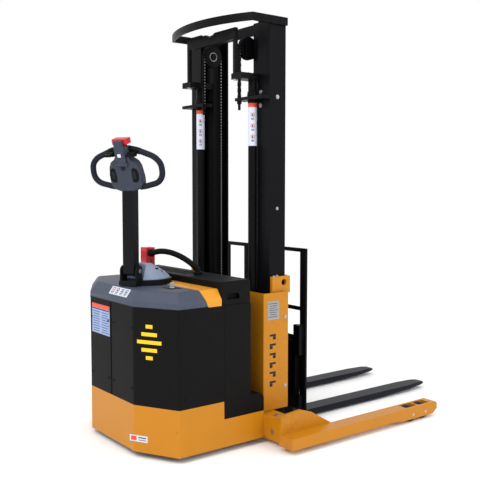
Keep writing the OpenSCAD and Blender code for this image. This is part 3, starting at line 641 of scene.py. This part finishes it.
class STACKER_OT_battery_cover(bpy.types.Operator):
    """Battery cover with its grips and grommet"""

    bl_idname = "stacker.battery_cover"
    bl_label = "Battery cover"

    def execute(self, context):
        look = context.scene.stacker_look
        softened("battery_cover", "cover_black", 0.8, big=look.cover_round * 900, thin=6)
        ring = torus(0.0195, 0.005, at(110, 430, 820), 10, 32)
        dress(paint(ring, "cable_rubber"), "cable_grommet", "chassis", "cable_rubber")
        ribs = [
            paint(rounded(block((-300, y, 809), (60, y + 5, 812)), 1.2, 3), "cover_black")
            for y in (388, 408, 428, 448, 468)
        ]
        dress(join(ribs), "cover_ribs", "chassis", "cover_black")
        return {"FINISHED"}


class STACKER_OT_battery_lead(bpy.types.Operator):
    """Battery plug, its socket and the cable between plug and cover"""

    bl_idname = "stacker.battery_lead"
    bl_label = "Battery lead"

    def execute(self, context):
        softened("battery_socket", "control_black", 2.0, 3)
        softened("disconnect_plug", "button_red", 3.0, 4)
        path = [
            (-146, 300, 908), (-120, 300, 908), (-92, 304, 915), (-55, 317, 921),
            (-10, 338, 918), (32, 361, 905), (68, 386, 884), (95, 410, 858),
            (108, 427, 838), (110, 430, 822), (110, 430, 800),
        ]
        cable = sweep([at(*p) for p in path], 14.6, steps=6, sides=6)
        rounded(cable, 0)
        paint(cable, "cable_rubber")
        dress(cable, "battery_cable_made", None, "cable_rubber", "battery_cable")
        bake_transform(cable)
        sleeve = rod(at(-134, 300, 908), at(-112, 300.6, 909.5), 18.5, 32)
        rounded(sleeve, 2.5, 3)
        dress(paint(sleeve, "cable_rubber"), "plug_sleeve", "battery_plug", "cable_rubber")
        ribs = [
            paint(rounded(block((x, 272.2, 870), (x + 5, 274.2, 918)), 0.8, 2), "button_red")
            for x in range(-186, -131, 11)
        ]
        dress(join(ribs), "plug_ribs", "battery_plug", "button_red")
        return {"FINISHED"}


class STACKER_OT_drive(bpy.types.Operator):
    """Drive unit with its wheel"""

    bl_idname = "stacker.drive"
    bl_label = "Drive unit"

    def execute(self, context):
        softened("drive_motor", "mast_black", 1.0)
        softened("drive_gearbox", "cast_grey", 3.0, 3)
        softened("drive_wheel", "wheel_tread", 5.0, 4)
        return {"FINISHED"}


class STACKER_OT_tiller_base(bpy.types.Operator):
    """Steering disc, cheeks and the silver cover of the tiller's foot"""

    bl_idname = "stacker.tiller_base"
    bl_label = "Tiller foot"

    def execute(self, context):
        softened("tiller_base", "tube_black", 2.2, 3)
        cover = softened("tiller_cover", "cover_silver", 4.5, 4, limit=22)
        steer = Matrix.Translation(at(0, 195, 0)) @ tiller_matrix().to_3x3().to_4x4()
        down = Vector((0, 0, -1))
        # painted shade: flat dark stickers standing for the shade inside the slots of the silver cover
        slots = ((-34, -8, 46, 9), (34, -8, 46, 9), (-30, 22, 34, 7), (30, 22, 34, 7))
        for i, (x, y, w, h) in enumerate(slots):
            sticker(
                "cover_slot_painted_shade_%d" % i, "steering_unit", "control_black", cover,
                steer @ Vector((x / 1000, y / 1000, 1.0)), down,
                [(0, 0, w, h, 0.8, "shade_black")], up=steer.to_3x3() @ Vector((0, 1, 0)),
            )
        # painted shade: flat dark stickers standing for the shade inside the side vents
        aside = steer.to_3x3() @ Vector((-1, 0, 0))
        for i, (y, z) in enumerate(((-0.030, 0.852), (0.012, 0.838))):
            for s in (-1, 1):
                sticker(
                    "cover_vent_painted_shade_%d%s" % (i, "ab"[s > 0]), "steering_unit", "control_black", cover,
                    steer @ Vector((s * 0.3, y, z)), aside * s, [(0, 0, 24, 8, 0.8, "shade_black")],
                )
        _, spot, normal, _ = cover.ray_cast(steer @ Vector((0, 0.052, 1.0)), down)
        dress(screw_at(spot, normal, 7, "bare_steel"), "cover_screw", "steering_unit", "bare_steel")
        # rubber lip round the disc
        ring = torus(0.1245, 0.0036, at(0, 195, 782), 8, 96)
        dress(paint(ring, "control_black"), "disc_lip", "steering_unit", "control_black")
        return {"FINISHED"}


class STACKER_OT_tiller_tube(bpy.types.Operator):
    """Tube between the tilt pin and the head"""

    bl_idname = "stacker.tiller_tube"
    bl_label = "Tiller tube"

    def execute(self, context):
        softened("tiller_tube", "tube_black", 5.0, 4)
        foot = tiller_matrix()
        pins = [
            rod(foot @ Vector((s * 0.049, 0, 0)), foot @ Vector((s * 0.053, 0, 0)), 12, 6)
            for s in (-1, 1)
        ]
        pins = [paint(rounded(o, 1.0, 2, 30), "bare_steel") for o in pins]
        dress(join(pins), "tilt_pin_heads", "steering_unit", "bare_steel")
        return {"FINISHED"}


class STACKER_OT_tiller_head(bpy.types.Operator):
    """Hub, hand loops, panels and controls of the tiller head"""

    bl_idname = "stacker.tiller_head"
    bl_label = "Tiller head"

    def execute(self, context):
        look = context.scene.stacker_look
        head = head_matrix()
        half = [
            (29, -4), (52, 2), (72, 12), (85, 30), (87, 62),
            (80, 116), (68, 140), (46, 154), (36, 170), (33, 213),
        ]
        hub = slab(half + [(-x, z) for x, z in reversed(half)], 52, 12, head)
        rounded(hub, 0)
        paint(hub, "head_grey")
        made = [hub]
        # raised band down the middle, and the lip under it
        for lo, hi, edge, finish in (
            ((-29, -34, 128), (29, -21, 216), 6, "head_grey"),
            ((-24, -37, 180), (24, -21.5, 246), 6, "head_grey"),
            ((-34, -38, 124), (34, -22, 139), 5, "head_grey"),
            ((-30, -32.5, 134), (30, -20, 178), 4, "loop_grey"),
            ((-9, -39.5, 168), (9, -35, 184), 1.2, "label_white"),
            ((-44, -28, 0), (44, 24, 18), 8, "head_grey"),
        ):
            made.append(paint(rounded(local_block(lo, hi, head), edge, 4), finish))
        # hand loops
        loops = [
            (30, 13, 196), (105, 13, 176), (176, 8, 138), (190, 5, 100),
            (176, 0, 50), (110, 0, 22), (62, 0, 14),
        ]
        cuffs = [(30, 13, 196), (60, 13, 190), (84, 13, 183)]

        def side_points(points, s):
            return [Vector((s * x / 1000, y / 1000, z / 1000)) for x, y, z in points]

        r = look.loop_radius * 1000
        for s in (-1, 1):
            tube = sweep(side_points(loops, s), r, head, steps=10, sides=7)
            rounded(tube, 0)
            made.append(paint(tube, "loop_grey"))
            cuff = sweep(side_points(cuffs, s), r + 1.6, head, steps=6, sides=6)
            made.append(paint(rounded(cuff, 0), "control_black"))
        piece = join(made)
        dress(piece, "tiller_head_made", "tiller", "head_grey", "tiller_head")
        # side panels round the lift buttons
        panels = []
        for s in (-1, 1):
            outline = [(44, 46), (62, 44), (76, 54), (80, 80), (74, 106), (60, 114), (46, 110), (42, 80)]
            shape = [(s * x, z) for x, z in outline]
            panel = slab(shape, 6, 2, head @ Matrix.Translation((0, -0.0255, 0)))
            panels.append(paint(rounded(panel, 0), "control_black"))
        dress(join(panels), "button_panels", "tiller", "control_black")
        softened("throttle", "control_black", 3.0, 4)
        softened("belly_button", "button_red", 7.0, 5)
        softened("horn_button", "button_yellow", 1.5, 3, finish="loop_grey")
        softened("raise_button", "button_white", 2.0, 3, finish="loop_grey")
        softened("lower_button", "button_white", 2.0, 3, finish="loop_grey")
        return {"FINISHED"}


class STACKER_OT_castors(bpy.types.Operator):
    """Stabiliser castors beside the drive wheel"""

    bl_idname = "stacker.castors"
    bl_label = "Castors"

    def execute(self, context):
        for side in ("left", "right"):
            softened("caster_fork_" + side, "bare_steel", 1.0)
            softened("caster_wheel_" + side, "wheel_tread", 3.0, 3)
        return {"FINISHED"}


class STACKER_OT_legs(bpy.types.Operator):
    """Cross beam, straddle legs and load wheels"""

    bl_idname = "stacker.legs"
    bl_label = "Beam and legs"

    def execute(self, context):
        softened("cross_beam", "frame_yellow", 3.5, 3)
        softened("leg_bolts", "bare_steel", 1.0)
        for side, s in (("left", -1), ("right", 1)):
            softened("leg_" + side, "frame_yellow", 2.6, 3)
            for end in ("rear", "front"):
                softened("load_wheel_%s_%s" % (side, end), "wheel_tread", 3.0, 3)
            low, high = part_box("leg_" + side)
            x = (high.x if s > 0 else low.x) * 1000
            made = []
            for y in (1437, 1537):
                cap = rod(at(x - s * 1, y, 40), at(x - s * 0.1, y, 40), 15, 32)
                made.append(paint(rounded(cap, 0.4, 2), "bare_steel"))
            dress(join(made), "axle_caps_" + side, "leg_" + side, "bare_steel")
        washers = []
        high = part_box("leg_bolts")[1]
        for s in (-1, 1):
            for dx in (11, 57):
                x = s * (high.x * 1000 - dx)
                washer = rod(at(x, 653, 136), at(x, 653, 138.4), 16, 28)
                washers.append(paint(rounded(washer, 0.6, 1), "bare_steel"))
        dress(join(washers), "bolt_washers", "chassis", "bare_steel")
        return {"FINISHED"}


class STACKER_OT_mast(bpy.types.Operator):
    """Outer and inner mast channels, ties, guard and cylinders"""

    bl_idname = "stacker.mast"
    bl_label = "Mast"

    def execute(self, context):
        for node, width in (
            ("outer_mast_left", 2.5), ("outer_mast_right", 2.5), ("outer_mast_ties", 1.5),
            ("inner_mast_left", 2.0), ("inner_mast_right", 2.0), ("inner_mast_ties", 1.5),
            ("top_guard", 2.0), ("lift_cylinders", 2.0),
        ):
            softened(node, "mast_black", width, 3)
        softened("lift_rods", "rod_chrome", 0.6)
        softened("mast_rollers", "bare_steel", 2.0, 3)
        softened("chain_sheaves", "bare_steel", 0.8, finish="mast_black")
        centre = JOINTS["sheave_turn"]["pos_m"]
        lo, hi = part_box("chain_sheaves")
        made = []
        for s in (-1, 1):
            for face in (lo.x + 0.0002 if s < 0 else hi.x - 0.0002, s * (2 * 0.158 - hi.x)):
                for radius, thick, finish in ((0.043, 0.0018, "mast_black"), (0.022, 0.0026, "chain_steel")):
                    ring = torus(radius, thick, (face, centre[1], centre[2]), 8, 40, (0, math.radians(90), 0))
                    made.append(paint(ring, finish))
        dress(join(made), "sheave_rings", "chain_sheaves", "bare_steel")
        made = []
        for s in (-1, 1):
            made.append(bolt_at(at(s * 345, 748, 1690), (s, 0, 0), 8))
            for z in (1652, 1716):
                made.append(bolt_at(at(s * 272, 700, z), (0, -1, 0), 9))
            for z in (300, 640):
                made.append(bolt_at(at(s * 345, 748, z + 500), (s, 0, 0), 6))
        dress(join(made), "mast_bolts", "chassis", "bare_steel")
        nuts = [bolt_at(at(s * 205, 594, 1778), (0, 0, -1), 10) for s in (-1, 1)]
        nuts += [bolt_at(at(s * 231, 650, 1808), (0, 0, 1), 9) for s in (-1, 1)]
        dress(join(nuts), "crosshead_nuts", "inner_mast", "bare_steel")
        x, y = cylinder_axis()
        made = []
        for s in (-1, 1):
            for z, r in ((1700, 28), (1664, 24.5)):
                ring = rod(at(s * x, y, z), at(s * x, y, z + 8), r, 40)
                made.append(paint(rounded(ring, 1.5, 2), "mast_black"))
            wiper = rod(at(s * x, y, 1722), at(s * x, y, 1723.6), 18, 40)
            made.append(paint(rounded(wiper, 0.5, 2), "cable_rubber"))
        dress(join(made), "cylinder_rings", "chassis", "mast_black")
        return {"FINISHED"}


class STACKER_OT_mast_covers(bpy.types.Operator):
    """Yellow covers beside the mast, with the lifting lugs"""

    bl_idname = "stacker.mast_covers"
    bl_label = "Mast covers"

    def execute(self, context):
        for side in ("left", "right"):
            softened("mast_cover_" + side, "frame_yellow", 1.0, big=5, thin=8)
        softened("lifting_lugs", "frame_yellow", 2.5, 3)
        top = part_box("lifting_lugs")[1].z * 1000
        made = []
        for s in (-1, 1):
            for y in (720, 802):
                p = at(s * 355, y, top)
                made.append(bolt_at(p, (0, 0, 1), 7))
            for z in (250, 600):
                made.append(bolt_at(at(s * 385, 770, z), (s, 0, 0), 7))
        dress(join(made), "cover_bolts", "chassis", "bare_steel")
        return {"FINISHED"}


class STACKER_OT_chains(bpy.types.Operator):
    """Leaf chains over the sheaves"""

    bl_idname = "stacker.chains"
    bl_label = "Lift chains"

    def link(self, pitch, offsets):
        """One leaf of plates between two pins, standing along +Z."""
        made = []
        for x in offsets:
            clear()
            bpy.ops.mesh.primitive_cylinder_add(
                vertices=12, radius=0.0058, depth=0.0022, rotation=(0, math.radians(90), 0)
            )
            o = settle(bpy.context.object)
            bpy.ops.object.mode_set(mode="EDIT")
            bpy.ops.mesh.select_mode(type="VERT")
            bpy.ops.mesh.select_all(action="DESELECT")
            bm = bmesh.from_edit_mesh(o.data)
            for v in bm.verts:
                v.select = v.co.z > 0.0001
            bmesh.update_edit_mesh(o.data)
            bpy.ops.transform.translate(value=(0, 0, pitch))
            bpy.ops.object.mode_set(mode="OBJECT")
            o.location = (x / 1000, 0, 0)
            made.append(paint(settle(o), "cable_rubber"))
        made.append(paint(rod(Vector((-0.0103, 0, 0)), Vector((0.0103, 0, 0)), 3.1, 8), "chain_steel"))
        return join(made)

    def strand(self, x, y, z0, z1, pitch):
        """Links from z0 up to z1, all in millimetres."""
        count = max(1, round((z1 - z0) / 2000 / pitch))
        step = (z1 - z0) / 1000 / count / 2
        outer = self.link(step, OUTER_PLATES)
        inner = self.link(step, INNER_PLATES)
        inner.location = (0, 0, step)
        pair = join([outer, settle(inner)])
        m = pair.modifiers.new("Links", "ARRAY")
        m.count = count
        m.use_relative_offset = False
        m.use_constant_offset = True
        m.constant_offset_displace = (0, 0, 2 * step)
        apply_all(pair)
        place(pair, Matrix.Translation(at(x, y, z0)))
        only(pair)
        bpy.ops.object.shade_smooth_by_angle(angle=SMOOTH_ANGLE)
        return pair

    def execute(self, context):
        pitch = context.scene.stacker_look.chain_pitch
        centre = JOINTS["sheave_turn"]["pos_m"]
        y0, z0 = (centre[1] - REAR) * 1000, centre[2] * 1000
        lo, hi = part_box("lift_chains")
        x = (hi.x * 1000) - 9
        lug = lo.z * 1000
        radius = SHEAVE_RADIUS
        for s, side in ((-1, "left"), (1, "right")):
            rear = self.strand(s * x, y0 - radius, CHAIN_ANCHOR, z0, pitch)
            dress(rear, "chain_rear_" + side, None, "chain_steel", "lift_chains")
            foot, top = at(s * x, y0 - radius, CHAIN_ANCHOR), at(s * x, y0 - radius, z0)
            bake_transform(rear)
            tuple(foot)
            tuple(top)
            front = self.strand(s * x, y0 + radius, lug, z0, pitch)
            dress(front, "chain_front_" + side, None, "chain_steel")
            at(s * x, y0 + radius, z0)
            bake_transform(front)
            count = round(math.pi * radius / (pitch * 1000))
            made = []
            step = 2 * radius * math.sin(math.pi / count / 2) / 1000
            for i in range(count):
                a = math.pi * i / count
                b = math.pi * (i + 1) / count
                p = at(s * x, y0 - radius * math.cos(a), z0 + radius * math.sin(a))
                q = at(s * x, y0 - radius * math.cos(b), z0 + radius * math.sin(b))
                leaf = self.link(step, OUTER_PLATES if i % 2 == 0 else INNER_PLATES)
                d = q - p
                turn = Matrix.Rotation(-math.atan2(d.y, d.z), 4, "X")
                made.append(place(leaf, Matrix.Translation(p) @ turn))
            arc = join(made)
            only(arc)
            bpy.ops.object.shade_smooth_by_angle(angle=SMOOTH_ANGLE)
            dress(arc, "chain_arc_" + side, "inner_mast", "chain_steel")
        return {"FINISHED"}


class STACKER_OT_carriage(bpy.types.Operator):
    """Fork carriage, backrest and rollers"""

    bl_idname = "stacker.carriage"
    bl_label = "Carriage"

    def execute(self, context):
        softened("carriage_frame", "mast_black", 2.0, 3)
        softened("load_backrest", "mast_black", 1.8, 3)
        for level in ("upper", "lower"):
            softened("carriage_rollers_" + level, "bare_steel", 2.0, 3)
        y = (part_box("load_backrest")[0].y - REAR) * 1000
        made = []
        for s in (-1, 1):
            for z in (398, 420):
                made.append(bolt_at(at(s * 316, y + 12, z), (0, 1, 0), 8))
        dress(join(made), "backrest_bolts", "carriage", "bare_steel")
        return {"FINISHED"}


class STACKER_OT_forks(bpy.types.Operator):
    """The two forks"""

    bl_idname = "stacker.forks"
    bl_label = "Forks"

    def execute(self, context):
        for side in ("left", "right"):
            softened("fork_" + side, "fork_grey", 3.0, 3)
        return {"FINISHED"}


class STACKER_OT_labels(bpy.types.Operator):
    """Labels, plates and plain marks, none of them with words"""

    bl_idname = "stacker.labels"
    bl_label = "Labels"

    def execute(self, context):
        objs = bpy.data.objects
        left_cover, right_cover = objs["rear_cover_left_made"], objs["rear_cover_right_made"]
        # warning label on the rear face
        rows = [
            (0, 0, 186, 146, 0.5, "label_blue"),
            (0, 63, 186, 20, 0.8, "label_red"),
            (0, 48, 178, 5, 0.8, "label_ink"),
        ]
        for i in range(9):
            rows.append((-46, 34 - i * 12, 78 - (i % 3) * 9, 2.6, 0.8, "label_ink"))
            rows.append((46, 34 - i * 12, 80 - ((i + 1) % 3) * 11, 2.6, 0.8, "label_ink"))
        rows.append((0, -8, 1.5, 116, 0.8, "label_white"))
        sticker("rear_label", "chassis", "button_white", left_cover, at(-105, -200, 600), (0, 1, 0), rows)
        # white decal on the lid's rear slope
        lid = objs["top_lid_made"]
        rows = [(0, 0, 176, 42, 0.5, "label_white")]
        for i, x in enumerate((-62, -22, 22, 62)):
            rows.append((x, 3, 26, 26, 0.8, "label_ink"))
            rows.append((x, 3, 20, 20, 0.9, "label_white"))
            rows.append((x, 3, 10, 12, 1.0, "label_red" if i == 0 else "label_ink"))
            rows.append((x, -15, 24, 2.4, 0.8, "label_ink"))
        sticker("lid_decal", "chassis", "button_white", lid, at(60, -200, 753), (0, 1, 0), rows)
        # plain emblem on the angled corner: a diamond of bars
        facet = Vector((113, -211, 0)).normalized()
        start = at(292, 40, 545) + facet * 0.3
        rows = []
        for i, w in enumerate((36, 82, 128, 82, 36)):
            rows.append((0, 72 - i * 36, w, 17, 0.5, "mark_yellow"))
        sticker("corner_emblem", "chassis", "button_yellow", right_cover, start, -facet, rows)
        # grey data plate and a column of marks on the right mast cover
        cover = objs["mast_cover_right_made"]
        rows = [(0, 0, 74, 92, 0.6, "label_grey")]
        for i in range(7):
            rows.append((-4 + (i % 2) * 4, 34 - i * 11, 58 - (i % 3) * 8, 2.4, 0.9, "label_ink"))
        for x in (-32, 32):
            for z in (-41, 41):
                rows.append((x, z, 4, 4, 1.4, "bare_steel"))
        sticker("data_plate", "chassis", "button_white", cover, at(700, 694, 638), (-1, 0, 0), rows)
        rows = []
        for i in range(6):
            rows.append((0, 118 - i * 47, 40, 10, 0.5, "label_ink"))
            rows.append((-10 if i % 2 else 10, 104 - i * 47, 18, 16, 0.5, "label_ink"))
        sticker("cover_marks", "chassis", "control_black", cover, at(700, 690, 396), (-1, 0, 0), rows)
        # small pale plate low on the skirt's right side
        skirt = objs["base_frame_made"]
        rows = [
            (0, 0, 96, 30, 0.5, "label_white"),
            (-26, 0, 30, 20, 0.8, "label_red"),
            (20, 5, 42, 5, 0.8, "label_ink"),
            (20, -6, 42, 3, 0.8, "label_ink"),
        ]
        start = at(330, -160, 92) + facet * 0.1
        sticker("skirt_plate", "chassis", "button_white", skirt, start, -facet, rows)
        # warning labels on the cylinders
        x, y = cylinder_axis()
        for s, side in ((-1, "left"), (1, "right")):
            made = []
            for z, h, finish in ((1452, 192, "label_white"), (1644, 20, "label_red")):
                band = rod(at(s * x, y, z), at(s * x, y, z + h), 22.5, 40)
                made.append(paint(rounded(band, 0.2, 1), finish))
            label = dress(join(made), "cylinder_label_" + side, "chassis", "button_white")
            for i, z in enumerate((1600, 1546, 1492)):
                rows = [
                    (0, 6, 17, 17, 1.7, "label_red"),
                    (0, 6, 12, 12, 1.9, "label_white"),
                    (0, 5, 5, 11, 2.1, "label_ink"),
                    (0, -12, 14, 2, 1.7, "label_ink"),
                    (0, -17, 14, 2, 1.7, "label_ink"),
                ]
                start = at(s * x + 200, y - 150, z)
                name = "cylinder_mark_%s_%d" % (side, i)
                sticker(name, "chassis", "control_black", label, start, (-200, 150, 0), rows)
        return {"FINISHED"}


class STACKER_OT_stage(bpy.types.Operator):
    """Floor, soft lights and camera"""

    bl_idname = "stacker.stage"
    bl_label = "Stage"

    def execute(self, context):
        look = context.scene.stacker_look
        world = bpy.data.worlds.new("Studio")
        context.scene.world = world
        world.use_nodes = True
        back = world.node_tree.nodes["Background"]
        back.inputs[0].default_value = (1, 1, 1, 1)
        back.inputs[1].default_value = 1.0
        clear()
        bpy.ops.mesh.primitive_plane_add(size=FLOOR_SIZE, location=(0, 0, 0))
        floor = bpy.context.object
        floor.name = "Floor"
        m = bpy.data.materials.new("Studio floor")
        m.use_nodes = True
        shader = m.node_tree.nodes["Principled BSDF"]
        shader.inputs["Base Color"].default_value = (1, 1, 1, 1)
        shader.inputs["Roughness"].default_value = 1
        shader.inputs["Specular IOR Level"].default_value = 0
        floor.data.materials.append(m)
        for name, spot, size, power, aim in (
            ("Key", (1.2, -4.2, 4.2), 2.4, look.light_power, (0, -0.4, 0.8)),
            ("Fill", (4.4, 0.6, 2.6), 2.8, look.light_power * 0.45, (0, 0, 0.7)),
        ):
            light = bpy.data.lights.new(name, "AREA")
            light.size = size
            light.energy = power
            o = bpy.data.objects.new(name, light)
            context.scene.collection.objects.link(o)
            o.location = spot
            o.rotation_mode = "QUATERNION"
            o.rotation_quaternion = (Vector(aim) - Vector(spot)).to_track_quat("-Z", "Y")
        cam = bpy.data.cameras.new("Camera")
        o = bpy.data.objects.new("Camera", cam)
        context.scene.collection.objects.link(o)
        cam.lens = 56.21
        cam.sensor_width = 36
        o.location = (3.208, REAR - 1.660, 1.2516)
        a, e = math.radians(52.76), math.radians(4.12)
        away = Vector((math.sin(a) * math.cos(e), -math.cos(a) * math.cos(e), math.sin(e)))
        o.rotation_mode = "QUATERNION"
        o.rotation_quaternion = (-away).to_track_quat("-Z", "Y")
        context.scene.camera = o
        context.scene.view_settings.view_transform = "Standard"
        return {"FINISHED"}


OPERATORS = (
    STACKER_OT_chassis,
    STACKER_OT_lid,
    STACKER_OT_battery_cover,
    STACKER_OT_battery_lead,
    STACKER_OT_drive,
    STACKER_OT_tiller_base,
    STACKER_OT_tiller_tube,
    STACKER_OT_tiller_head,
    STACKER_OT_castors,
    STACKER_OT_legs,
    STACKER_OT_mast,
    STACKER_OT_mast_covers,
    STACKER_OT_chains,
    STACKER_OT_carriage,
    STACKER_OT_forks,
    STACKER_OT_labels,
    STACKER_OT_stage,
)


class STACKER_PT_panel(bpy.types.Panel):
    """Lists the steps that build the stacker"""

    bl_idname = "STACKER_PT_panel"
    bl_label = "Walkie stacker"
    bl_space_type = "VIEW_3D"
    bl_region_type = "UI"
    bl_category = "Stacker"

    def draw(self, context):
        look = context.scene.stacker_look
        for name in (
            "frame_colour", "lid_colour", "lid_round", "cover_round",
            "loop_radius", "chain_pitch", "light_power",
        ):
            self.layout.prop(look, name)
        for op in OPERATORS:
            self.layout.operator(op.bl_idname)


def register():
    bpy.utils.register_class(StackerLook)
    for c in OPERATORS:
        bpy.utils.register_class(c)
    bpy.utils.register_class(STACKER_PT_panel)
    bpy.types.Scene.stacker_look = bpy.props.PointerProperty(type=StackerLook)


def unregister():
    del bpy.types.Scene.stacker_look
    bpy.utils.unregister_class(STACKER_PT_panel)
    for c in reversed(OPERATORS):
        bpy.utils.unregister_class(c)
    bpy.utils.unregister_class(StackerLook)


def main():
    register()
    for op in OPERATORS:
        group, name = op.bl_idname.split(".")
        getattr(getattr(bpy.ops, group), name)()


if __name__ == "__main__":
    main()
